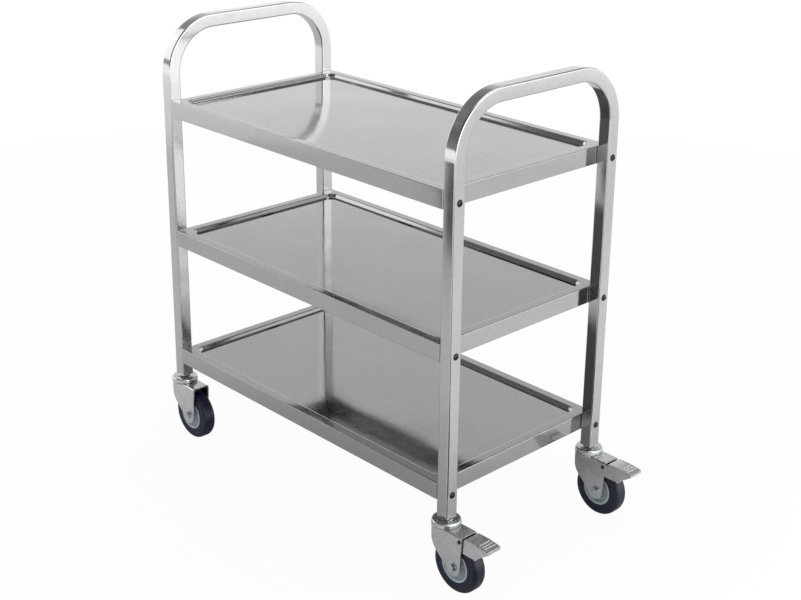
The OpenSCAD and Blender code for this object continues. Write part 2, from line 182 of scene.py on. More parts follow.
class EffectLibrary:
    """Shader node groups that several finishes share, each built once."""

    def __init__(self) -> None:
        """Build the groups, and start the list of materials made with them."""
        self.skins: dict[str, Material] = {}
        self.grain = self._grain()
        self.waves = self._waves()
        self.smudges = self._smudges()
        self.scuffs = self._scuffs()

    @staticmethod
    def _open(name: str, *numbers: str) -> tuple[NodeTree, Node, NodeSocket]:
        """Start a group that takes Object coordinates and gives one value.

        Args:
            name: name of the group.
            numbers: names of the numbers that it takes too.

        Returns:
            The group, its input node, and the socket that takes its value.
        """
        tree = bpy.data.node_groups.new(name, "ShaderNodeTree")
        face = tree.interface
        face.new_socket("Place", in_out="INPUT", socket_type="NodeSocketVector")
        for label in numbers:
            face.new_socket(label, in_out="INPUT", socket_type="NodeSocketFloat")
        face.new_socket("Value", in_out="OUTPUT", socket_type="NodeSocketFloat")
        start = tree.nodes.new("NodeGroupInput")
        return tree, start, tree.nodes.new("NodeGroupOutput").inputs["Value"]

    def _grain(self) -> NodeTree:
        """Fine lines left by the polishing belt, along the coarse axis of Place.

        Returns:
            The group.
        """
        tree, start, end = self._open("belt_grain")
        place = start.outputs["Place"]
        fine = noise(tree, place, 2600.0, rough=0.6).outputs["Fac"]
        broad = noise(tree, place, 420.0).outputs["Fac"]
        both = maths(tree, "MULTIPLY_ADD", fine, 0.6, maths(tree, "MULTIPLY", broad, 0.4))
        tree.links.new(spread(tree, both, 0.36, 0.64), end)
        return tree

    def _waves(self) -> NodeTree:
        """Slow swells of thin sheet, which bend its reflections.

        Returns:
            The group.
        """
        tree, start, end = self._open("sheet_waves", "Scale")
        slow = noise(tree, start.outputs["Place"], start.outputs["Scale"], 1.0, 0.35)
        tree.links.new(slow.outputs["Fac"], end)
        return tree

    def _smudges(self) -> NodeTree:
        """Cloudy marks of wiping and handling.

        Returns:
            The group.
        """
        tree, start, end = self._open("wipe_marks", "Scale")
        place = start.outputs["Place"]
        cloud = noise(tree, place, start.outputs["Scale"], 4.0, 0.62).outputs["Fac"]
        patches = noise(tree, place, 55.0, 3.0, 0.55).outputs["Fac"]
        both = maths(tree, "MULTIPLY_ADD", patches, 0.35, maths(tree, "MULTIPLY", cloud, 0.65))
        tree.links.new(spread(tree, both, 0.42, 0.66), end)
        return tree

    def _scuffs(self) -> NodeTree:
        """Short thin scratches that lie in all directions.

        Returns:
            The group.
        """
        tree, start, end = self._open("scuffs", "Scale")
        place = start.outputs["Place"]
        warp = add(tree, "VectorMath",
                   {0: noise(tree, place, 14.0).outputs["Color"], 1: (0.12, 0.12, 0.12),
                    2: place}, operation="MULTIPLY_ADD")
        cells = add(tree, "TexVoronoi",
                    {"Vector": warp.outputs[0], "Scale": start.outputs["Scale"]},
                    feature="DISTANCE_TO_EDGE")
        lines = spread(tree, cells.outputs["Distance"], 0.0, 0.012, 1.0, 0.0)
        gate = spread(tree, noise(tree, place, 30.0).outputs["Fac"], 0.5, 0.64)
        tree.links.new(maths(tree, "MULTIPLY", lines, gate), end)
        return tree


# Finishes

@dataclass(frozen=True)
class Finish:
    """A surface: its colour, gloss, grain and wear, made into a material once."""

    name: str
    colour: tuple[float, float, float]
    worn: tuple[float, float, float]
    metal: bool = True
    rough: float = 0.15
    rough_span: float = 0.1
    run: Run = Run.NONE
    grain_height: float = 0.0
    wave_height: float = 0.0
    wave_scale: float = 7.0
    scuff_height: float = -0.00001
    mottle: float = 0.0
    mottle_scale: float = 160.0
    smudge_scale: float = 9.0
    scuff_scale: float = 60.0

    def material(self, effects: EffectLibrary) -> Material:
        """Build the material, or return it if it is built.

        Args:
            effects: the shared node groups.

        Returns:
            The material that pieces with this finish wear.
        """
        if self.name in effects.skins:
            return effects.skins[self.name]
        skin = effects.skins[self.name] = bpy.data.materials.new(self.name)
        skin.use_nodes = True
        tree = skin.node_tree
        shader = tree.nodes["Principled BSDF"]
        shader.inputs["Metallic"].default_value = float(self.metal)
        place = add(tree, "TexCoord").outputs["Object"]
        along = add(tree, "Mapping", {"Scale": self.run.value, "Vector": place})
        grain = self._effect(tree, effects.grain, along.outputs["Vector"])
        marks = self._effect(tree, effects.smudges, place, Scale=self.smudge_scale)
        scuffs = self._effect(tree, effects.scuffs, place, Scale=self.scuff_scale)
        tree.links.new(self._colour(tree, place, marks, scuffs), shader.inputs["Base Color"])
        rough = self.rough
        for socket, share in ((grain, 0.45), (marks, 0.45), (scuffs, 0.6)):
            rough = maths(tree, "MULTIPLY_ADD", socket, share * self.rough_span, rough)
        tree.links.new(rough, shader.inputs["Roughness"])
        reliefs = [(grain, self.grain_height), (scuffs, self.scuff_height)]
        if self.wave_height:
            waves = self._effect(tree, effects.waves, place, Scale=self.wave_scale)
            reliefs.insert(0, (waves, self.wave_height))
        tree.links.new(self._normal(tree, reliefs), shader.inputs["Normal"])
        return skin

    @staticmethod
    def _effect(tree: NodeTree, group: NodeTree, place: NodeSocket, **values: float) -> NodeSocket:
        """Place a shared group in the material, and return its socket."""
        return add(tree, "Group", {"Place": place, **values}, node_tree=group).outputs["Value"]

    def _colour(self, tree: NodeTree, place: NodeSocket, marks: NodeSocket,
                scuffs: NodeSocket) -> NodeSocket:
        """Mottle the plain colour, and dull it where it is worn.

        Args:
            tree: the material's nodes.
            place: Object coordinates.
            marks: where it is smudged.
            scuffs: where it is scratched.

        Returns:
            The socket of the colour.
        """
        mottle = noise(tree, place, self.mottle_scale, 3.0).outputs["Fac"]
        shade = add(tree, "MapRange",
                    {"Value": mottle, "From Min": 0.3, "From Max": 0.7,
                     "To Min": 1.0 - self.mottle, "To Max": 1.0 + self.mottle * 0.5})
        worn = maths(tree, "MULTIPLY_ADD", marks, 0.45, scuffs, clamp=True)
        mix = add(tree, "Mix", {"A": (*self.colour, 1.0), "B": (*self.worn, 1.0),
                                          "Factor": worn}, data_type="RGBA")
        return add(tree, "VectorMath",
                   {0: mix.outputs["Result"], "Scale": shade.outputs["Result"]},
                   operation="SCALE").outputs["Vector"]

    @staticmethod
    def _normal(tree: NodeTree, reliefs: Iterable[tuple[NodeSocket, float]]) -> NodeSocket:
        """Stack bumps on one another.

        Args:
            tree: the material's nodes.
            reliefs: what each bump follows, and its height.

        Returns:
            The socket of the normal.
        """
        normal = None
        for height, depth in reliefs:
            if depth:
                bump = add(tree, "Bump", {"Strength": 1.0, "Distance": abs(depth),
                                                    "Height": height}, invert=depth < 0)
                if normal is not None:
                    tree.links.new(normal, bump.inputs["Normal"])
                normal = bump.outputs["Normal"]
        return normal


TUBE_STEEL = Finish(
    "tube_steel", (0.56, 0.555, 0.55), (0.50, 0.49, 0.48), rough=0.09, rough_span=0.08,
    run=Run.ALONG_Z, grain_height=0.0000002, wave_height=0.0004, wave_scale=14.0, mottle=0.05)
TRAY_STEEL = Finish(
    "tray_sheet_steel", (0.475, 0.468, 0.47), (0.43, 0.42, 0.415), rough=0.07, rough_span=0.07,
    run=Run.ALONG_X, grain_height=0.0000001, wave_height=0.0009, wave_scale=6.0, mottle=0.04,
    smudge_scale=5.0, scuff_scale=24.0)
FASTENER_STEEL = Finish(
    "bolt_steel", (0.05, 0.049, 0.047), (0.12, 0.117, 0.114), rough=0.4, rough_span=0.2,
    mottle=0.15, mottle_scale=500.0, scuff_scale=300.0)
ZINC_PLATE = Finish(
    "zinc_plate", (0.74, 0.76, 0.77), (0.56, 0.58, 0.58), rough=0.13, rough_span=0.22,
    grain_height=0.000002, mottle=0.12, mottle_scale=240.0, smudge_scale=40.0,
    scuff_scale=160.0)
BALL_CHROME = Finish(
    "ball_chrome", (0.66, 0.66, 0.66), (0.5, 0.5, 0.5), rough=0.06, rough_span=0.12,
    mottle=0.05, smudge_scale=300.0, scuff_scale=400.0)
HUB_PLASTIC = Finish(
    "hub_moulding", (0.44, 0.51, 0.55), (0.53, 0.58, 0.6), metal=False, rough=0.34,
    rough_span=0.2, grain_height=0.000008, mottle=0.08, mottle_scale=300.0, smudge_scale=40.0,
    scuff_scale=140.0)
TYRE_RUBBER = Finish(
    "tyre_rubber", (0.005, 0.008, 0.026), (0.018, 0.024, 0.055), metal=False, rough=0.34,
    rough_span=0.25, grain_height=0.00001, mottle=0.12, mottle_scale=220.0, smudge_scale=35.0,
    scuff_scale=120.0)


# Mesh tools

def outwards(work: BMesh) -> None:
    """Turn all faces of a mesh outwards."""
    bmesh.ops.recalc_face_normals(work, faces=work.faces[:])


def only(kind: type, parts: Iterable[object]) -> list:
    """Keep the parts of one kind."""
    return [part for part in parts if isinstance(part, kind)]


def chain(work: BMesh, points: Iterable[Sequence[float]], closed: bool = False) -> list[BMVert]:
    """Join points by edges, one after the other.

    Args:
        work: mesh that they go in.
        points: the points.
        closed: whether the last leads back to the first.

    Returns:
        Their vertices.
    """
    verts = [work.verts.new(point) for point in points]
    for pair in zip(verts, verts[1:] + verts[:closed]):
        work.edges.new(pair)
    return verts


def round_corners(work: BMesh, corners: Iterable[tuple[BMVert, float]], arc: int) -> None:
    """Round an outline's corners.

    Args:
        work: mesh that the outline is in.
        corners: each corner with its radius.
        arc: edges in each round corner.
    """
    corners = list(corners)
    for radius in sorted({radius for _, radius in corners if radius > 0}):
        bmesh.ops.bevel(work, geom=[vert for vert, own in corners if own == radius],
                        offset=radius, segments=arc, affect="VERTICES", profile=0.5, material=-1)


def mirrored(profile: Sequence[tuple[float, float, float]]) -> list[tuple[float, ...]]:
    """Mirror one side of a lathe's profile, in the order that closes the outline."""
    return [(out, -along, radius) for out, along, radius in reversed(profile)]


def show(name: str, data: bpy.types.ID) -> Object:
    """Put a mesh, lamp or camera in the scene.

    Args:
        name: name of its object.
        data: the mesh, lamp or camera.

    Returns:
        The object.
    """
    item = bpy.data.objects.new(name, data)
    bpy.context.scene.collection.objects.link(item)
    return item


def skinned(name: str, work: BMesh, skin: Material) -> Mesh:
    """Make a finished mesh that wears a material.

    Args:
        name: its name.
        work: the mesh in the making, which is used up.
        skin: the material.

    Returns:
        The mesh.
    """
    mesh = bpy.data.meshes.new(name)
    work.to_mesh(mesh)
    work.free()
    mesh.materials.append(skin)
    return mesh


class Bench:
    """A mesh in the making, shaped by bmesh operators."""

    def __init__(self) -> None:
        """Start with an empty mesh."""
        self.bm = bmesh.new()

    def take(self, other: BMesh, turn: Matrix | None = None) -> list[BMEdge]:
        """Add another mesh to this one.

        Args:
            other: the mesh, which is used up.
            turn: where it goes, if it moves.

        Returns:
            The edges that it brought.
        """
        if turn is not None:
            bmesh.ops.transform(other, matrix=turn, verts=other.verts)
        count = len(self.bm.edges)
        sheet = bpy.data.meshes.new("bench")
        other.to_mesh(sheet)
        other.free()
        self.bm.from_mesh(sheet)
        bpy.data.meshes.remove(sheet)
        self.bm.edges.ensure_lookup_table()
        return self.bm.edges[count:]

    def rounded_loop(self, size_x: float, size_y: float, corner: float, turn: Matrix,
                     arc: int) -> list[BMEdge]:
        """Draw a rectangle with round corners, as a closed loop of edges.

        Args:
            size_x: length of the rectangle.
            size_y: width of the rectangle.
            corner: radius of its corners.
            turn: where it goes from the XY plane.
            arc: edges in each corner.

        Returns:
            The loop's edges.
        """
        work = bmesh.new()
        bmesh.ops.create_grid(work, x_segments=1, y_segments=1, size=0.5)
        bmesh.ops.scale(work, vec=(size_x, size_y, 1), verts=work.verts)
        round_corners(work, [(vert, corner) for vert in work.verts], arc)
        bmesh.ops.delete(work, geom=work.faces[:], context="FACES_ONLY")
        return self.take(work, turn)

    def bridge(self, loops: Sequence[list[BMEdge]]) -> None:
        """Join each loop of edges to the next with faces.

        The loops are lifted apart meanwhile, so that loops in one plane pair up rightly.

        Args:
            loops: the loops in their order.
        """
        lifts = [(list({vert for edge in loop for vert in edge.verts}), Vector((0, 0, place)))
                 for place, loop in enumerate(loops)]
        for verts, lift in lifts:
            bmesh.ops.translate(self.bm, vec=lift, verts=verts)
        for low, high in zip(loops, loops[1:]):
            bmesh.ops.bridge_loops(self.bm, edges=low + high)
        for verts, lift in lifts:
            bmesh.ops.translate(self.bm, vec=-lift, verts=verts)

    def plate(self, outline: Sequence[tuple[float, float, float]], turn: Matrix,
              thick: float) -> None:
        """Cut a plate from an outline whose corners each have a radius.

        Args:
            outline: corners as (x, y, radius) in the plate's own plane.
            turn: where the plate's plane goes.
            thick: thickness, along the plane's +Z.
        """
        work = bmesh.new()
        corners = [(work.verts.new((x, y, 0)), radius) for x, y, radius in outline]
        work.faces.new([vert for vert, _ in corners])
        round_corners(work, corners, 6)
        made = bmesh.ops.extrude_face_region(work, geom=work.faces[:])["geom"]
        bmesh.ops.translate(work, vec=(0, 0, thick), verts=only(BMVert, made))
        outwards(work)
        self.take(work, turn)

    def lathe(self, profile: Sequence[tuple[float, float, float]], centre: Vector,
              axis: Vector, side: Vector, steps: int, arc: int = 4) -> None:
        """Turn a closed profile about an axis.

        Args:
            profile: corners as (distance from the axis, place along it, radius).
            centre: point on the axis from which places along it count.
            axis: direction of the axis.
            side: direction away from the axis, square to it.
            steps: faces in a full turn.
            arc: edges in each round corner.
        """
        work = bmesh.new()
        verts = chain(work, [centre + side * out + axis * up for out, up, _ in profile], True)
        round_corners(work, zip(verts, (radius for _, _, radius in profile)), arc)
        bmesh.ops.spin(work, geom=work.verts[:] + work.edges[:], cent=centre, axis=axis,
                       angle=math.tau, steps=steps, use_merge=True)
        bmesh.ops.remove_doubles(work, verts=work.verts[:], dist=WELD)
        outwards(work)
        self.take(work)

    def hex_prism(self, across: float, low: float, high: float, turn: Matrix,
                  chamfer: float = 0.0006) -> None:
        """Make a hexagonal head or nut with its outer corners eased.

        Args:
            across: width across the flats.
            low: place of its lower face along Z.
            high: place of its upper face.
            turn: where it goes.
            chamfer: size of the eased edges.
        """
        work = bmesh.new()
        radius = across / math.sqrt(3)
        bmesh.ops.create_cone(work, cap_ends=True, segments=6, radius1=radius, radius2=radius,
                              depth=high - low, matrix=Matrix.Translation((0, 0, (low + high) / 2)))
        rims = [edge for edge in work.edges
                if abs(edge.verts[0].co.z - edge.verts[1].co.z) < WELD / 10]
        bmesh.ops.bevel(work, geom=rims, offset=chamfer, segments=2, affect="EDGES",
                        profile=0.5, material=-1)
        outwards(work)
        self.take(work, turn)

    def move(self, by: Vector) -> None:
        """Shift everything made so far."""
        bmesh.ops.translate(self.bm, vec=by, verts=self.bm.verts[:])

    def piece(self, name: str, skin: Material, ease: float = 0.0, wall: float = 0.0,
              smooth: float = 35.0) -> Object:
        """Make the finished mesh an object.

        Args:
            name: name of the piece.
            skin: material that it wears.
            ease: size of the small round put on its sharp edges, or 0.
            wall: thickness given to it inwards if it is an open sheet, or 0.
            smooth: edges sharper than this many degrees stay sharp.

        Returns:
            The object, at the origin.
        """
        mesh = skinned(name, self.bm, skin)
        mesh.shade_smooth()
        body = show(name, mesh)
        if wall:
            solid = body.modifiers.new("wall", "SOLIDIFY")
            solid.thickness = wall
            solid.offset = -1.0
            solid.use_even_offset = True
        if ease:
            round_off = body.modifiers.new("ease", "BEVEL")
            round_off.width = ease
            round_off.segments = 2
            round_off.limit_method = "ANGLE"
            round_off.angle_limit = math.radians(smooth)
            round_off.use_clamp_overlap = True
            round_off.harden_normals = False
        else:
            mesh.set_sharp_from_angle(angle=math.radians(smooth))
        body.modifiers.new("even", "WEIGHTED_NORMAL").keep_sharp = True
        return body


def repaint(nodes: Iterable[str], skin: Material) -> None:
    """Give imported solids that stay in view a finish.

    Args:
        nodes: the solids' nodes.
        skin: material of the finish.
    """
    for name in nodes:
        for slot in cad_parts[name].material_slots:
            slot.material = skin
        LOG.info("%s keeps its solid", name)


# Sub-assemblies

@dataclass
class SubAssembly:
    """A part of the cart, shaped on a bench and dressed with the shared effects."""

    effects: EffectLibrary
    bench: Bench = field(default_factory=Bench, init=False)

    def hand_over(self, name: str, skin: Finish, body: str, slot: str, *nodes: str,
                  **form: float) -> None:
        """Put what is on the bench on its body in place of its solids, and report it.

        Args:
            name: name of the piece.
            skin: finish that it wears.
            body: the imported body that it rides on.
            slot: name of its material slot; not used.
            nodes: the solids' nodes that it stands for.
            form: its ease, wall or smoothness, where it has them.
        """
        piece = self.bench.piece(name, skin.material(self.effects), **form)
        self.bench = Bench()
        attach(piece, body)
        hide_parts(*nodes)
        LOG.info("%s rides on %s for %s", piece.name, body, ", ".join(nodes))


@dataclass
class EndFrame(SubAssembly):
    """A bent square tube: two legs and the handle in one."""

    side: int
    wall: float = 0.0012
    edge: float = 0.003
    low: float = 0.129
    bend: float = 0.105
    top: float = 0.855
    half_width: float = 0.2
    bend_steps: int = 28
    corner_steps: int = 4

    def build(self) -> None:
        """Sweep the tube's section up a leg, round both bends and down again."""
        bench, bm = self.bench, self.bench.bm
        start = Matrix.Translation((0, TUBE / 2 - self.half_width, self.low))
        inside = TUBE - 2 * self.wall
        bench.bridge([bench.rounded_loop(size, size, corner, start, self.corner_steps)
                      for size, corner in ((TUBE, self.edge), (inside, self.edge - self.wall))])
        bend_y, bend_z = self.half_width - self.bend, self.top - self.bend
        live = self._push(bm.faces[:], Vector((0, 0, bend_z - self.low)), 6)
        live = self._turn(live, Vector((0, -bend_y, bend_z)))
        live = self._push(live, Vector((0, 2 * bend_y, 0)), 3)
        live = self._turn(live, Vector((0, bend_y, bend_z)))
        self._push(live, Vector((0, 0, self.low - bend_z)), 6)
        bmesh.ops.remove_doubles(bm, verts=bm.verts[:], dist=WELD)
        outwards(bm)
        bench.move(Vector((MID_X + self.side * POST_X, 0, 0)))
        name = "right_end_frame" if self.side > 0 else "left_end_frame"
        self.hand_over(f"{name}_tube", TUBE_STEEL, "frame", "frame_steel", name, smooth=50.0)

    def _push(self, live: list, by: Vector, parts: int) -> list:
        """Extend the section straight on, in equal parts.

        Args:
            live: the section, where the tube ends so far.
            by: how far, and which way.
            parts: how many parts.

        Returns:
            The section at the new end.
        """
        bm = self.bench.bm
        for _ in range(parts):
            faces = only(BMFace, live)
            live = bmesh.ops.extrude_face_region(bm, geom=faces)["geom"]
            bmesh.ops.translate(bm, vec=by / parts, verts=only(BMVert, live))
            bmesh.ops.delete(bm, geom=faces, context="FACES_ONLY")
        return live

    def _turn(self, live: list, centre: Vector) -> list:
        """Carry the section a quarter turn round a bend, and return its end."""
        return bmesh.ops.spin(self.bench.bm, geom=only(BMFace, live), cent=centre, axis=-ALONG,
                              angle=QUARTER, steps=self.bend_steps)["geom_last"]


@dataclass
class Tray(SubAssembly):
    """A tray of folded sheet: deck, recess wall, rim, skirt and hem."""

    tier: Tier
    length: float = 0.73
    width: float = 0.4
    height: float = 0.032
    rim: float = 0.02
    rim_flat: float = 0.0125
    rim_corner: float = 0.017
    rim_edge: float = 0.006
    edge_corner: float = 0.0025
    recess: float = 0.007
    recess_corner: float = 0.016
    recess_fold: float = 0.003
    recess_slope: float = 62.0
    deck_edge: float = 0.004
    hem: float = 0.007
    hem_corner: float = 0.001
    fold: float = 0.0013
    fold_corner: float = 0.0012
    fold_swell: float = 0.0008
    arc: int = 5

    def build(self) -> None:
        """Bridge the sheet's outlines from the middle of the deck to the hem."""
        bench, bm = self.bench, self.bench.bm
        name, hem_z = self.tier.value
        loops = [bench.rounded_loop(self.length - 2 * inset, self.width - 2 * inset, corner,
                                    Matrix.Translation((0, 0, z)), self.arc)
                 for inset, z, corner in self._section()]
        bmesh.ops.contextual_create(bm, geom=loops[0])
        bench.bridge(loops)
        outwards(bm)
        bm.faces.ensure_lookup_table()
        if bm.faces[0].normal.z < 0:
            bmesh.ops.reverse_faces(bm, faces=bm.faces[:])
        bench.move(Vector((MID_X, 0, hem_z)))
        self.hand_over(f"{name}_sheet", TRAY_STEEL, "frame", "tray_steel", name, wall=SHEET,
                       smooth=50.0)

    def _section(self) -> list[tuple[float, float, float]]:
        """Work out the outlines.

        Returns:
            Each outline's step in from the tray's outer size, its height and the
            radius of its corners, from the deck outwards.
        """
        slope = math.radians(self.recess_slope)
        turns = [(math.sin(slope / self.arc * step), 1 - math.cos(slope / self.arc * step))
                 for step in range(self.arc + 1)]
        deck_z, bend = self.height - self.recess, self.recess_fold
        straight = (self.recess - 2 * bend * (1 - math.cos(slope))) / math.tan(slope)
        reach = bend * math.sin(slope) + straight / 2
        steps = [(reach + self.deck_edge, deck_z)]
        steps += [(reach - bend * sin, deck_z + bend * drop) for sin, drop in turns]
        steps += [(bend * sin - reach, self.height - bend * drop) for sin, drop in turns[::-1]]
        path = [(self.rim + inward, z, self.recess_corner - inward) for inward, z in steps]
        path += [(self.rim_flat, self.height, self.rim_corner),
                 (self.rim_edge, self.height, self.edge_corner)]
        fold, corner, swell = self.fold, self.fold_corner, self.fold_swell
        waves = [(math.sin(QUARTER / 4 * step), math.cos(QUARTER / 4 * step))
                 for step in range(5)]
        path += [(fold * (1 - sin), self.height - fold * (1 - cos), corner + swell * sin)
                 for sin, cos in waves]
        path += [(fold * (1 - cos), fold * (1 - sin), corner + swell * cos)
                 for sin, cos in waves]
        return path + [(self.hem, 0.0, self.hem_corner)]


@dataclass
class TrayFasteners(SubAssembly):
    """Bolts through the tubes and the trays' end skirts, with their nuts."""

    head: float = 0.0125
    head_high: float = 0.0033
    shank: float = 0.006
    drive: float = 0.004
    drive_deep: float = 0.002
    rise: float = 0.014
    nut_across: float = 0.010
    nut_high: float = 0.005
    washer: float = 0.0016
    tail: float = 0.002
    tip: float = 0.0006
    steps: int = 24

    @property
    def reach(self) -> float:
        """Place of the nut along the bolt, from the head's underside."""
        return TUBE + SHEET + self.washer

    def build(self) -> None:
        """Make all the bolts as one piece, and all the nuts as another."""
        spots = [Matrix.Translation((MID_X + end * (POST_X + TUBE / 2), out * POST_Y,
                                     tier.value[1] + self.rise))
                 @ Matrix.Rotation(-end * QUARTER, 4, "Y")
                 for end in (-1, 1) for tier in Tier for out in (-1, 1)]
        for spot in spots:
            self._drive(spot)
            self._bolt(spot)
        self.hand_over("tray_bolts_domed", FASTENER_STEEL, "frame", "fastener_steel",
                       "tray_bolts")
        for spot in spots:
            self.bench.hex_prism(self.nut_across, self.reach, self.reach + self.nut_high, spot)
        self.hand_over("tray_nuts_eased", FASTENER_STEEL, "frame", "fastener_steel",
                       "tray_nuts")

    def _drive(self, spot: Matrix) -> None:
        """Sink a six-sided drive where a head's middle is left open.

        Args:
            spot: where the head meets its tube, with +Z along the bolt.
        """
        work = bmesh.new()
        bmesh.ops.create_circle(work, cap_ends=True, segments=6, radius=self.drive / math.sqrt(3))
        floor = work.faces[:]
        bmesh.ops.translate(work, vec=(0, 0, self.drive_deep - self.head_high), verts=work.verts)
        rim = bmesh.ops.extrude_edge_only(work, edges=work.edges[:])["geom"]
        bmesh.ops.translate(work, vec=(0, 0, -self.drive_deep), verts=only(BMVert, rim))
        outwards(work)
        bmesh.ops.reverse_faces(work, faces=[face for face in work.faces if face not in floor])
        self.bench.take(work, spot)

    def _bolt(self, spot: Matrix) -> None:
        """Turn a domed head, open round its drive, and its shank.

        Args:
            spot: where the head meets its tube, with +Z along the bolt.
        """
        half, shank = self.head / 2, self.shank / 2
        dome = (half ** 2 + self.head_high ** 2) / (2 * self.head_high)
        end = self.reach + self.nut_high + self.tail
        rings = [(half * share, 0,
                  dome - self.head_high - math.sqrt(dome ** 2 - (half * share) ** 2))
                 for share in (0.42, 0.55, 0.7, 0.82, 0.92, 1.0)]
        rings += [(half, 0, 0.0), (shank, 0, 0.0), (shank, 0, end - self.tip),
                  (shank - self.tip, 0, end)]
        work = bmesh.new()
        chain(work, rings)
        bmesh.ops.spin(work, geom=work.verts[:] + work.edges[:], cent=(0, 0, 0), axis=UP,
                       angle=math.tau, steps=self.steps, use_merge=True)
        bmesh.ops.remove_doubles(work, verts=work.verts[:], dist=WELD / 10)
        bmesh.ops.contextual_create(work, geom=[
            edge for edge in work.edges
            if edge.is_boundary and all(vert.co.z > 0 for vert in edge.verts)])
        top = [edge for edge in work.edges if edge.is_boundary]
        drive = bmesh.ops.create_circle(work, cap_ends=False, segments=6,
                                        radius=self.drive / math.sqrt(3),
                                        matrix=Matrix.Translation((0, 0, -self.head_high)))
        ring = list({edge for vert in drive["verts"] for edge in vert.link_edges})
        bmesh.ops.bridge_loops(work, edges=top + ring)
        outwards(work)
        self.bench.take(work, spot)


@dataclass
class StemNuts(SubAssembly):
    """The nuts that lock the casters' stems under the tubes."""

    across: float = 0.019
    low: float = 0.1235
    high: float = 0.1275
    chamfer: float = 0.0007

    def build(self) -> None:
        """Make the four nuts as one piece."""
        for corner in Corner:
            self.bench.hex_prism(self.across, self.low, self.high,
                                 Matrix.Translation(corner.place), self.chamfer)
        self.hand_over("stem_nuts_eased", ZINC_PLATE, "frame", "zinc_steel", "stem_nuts")


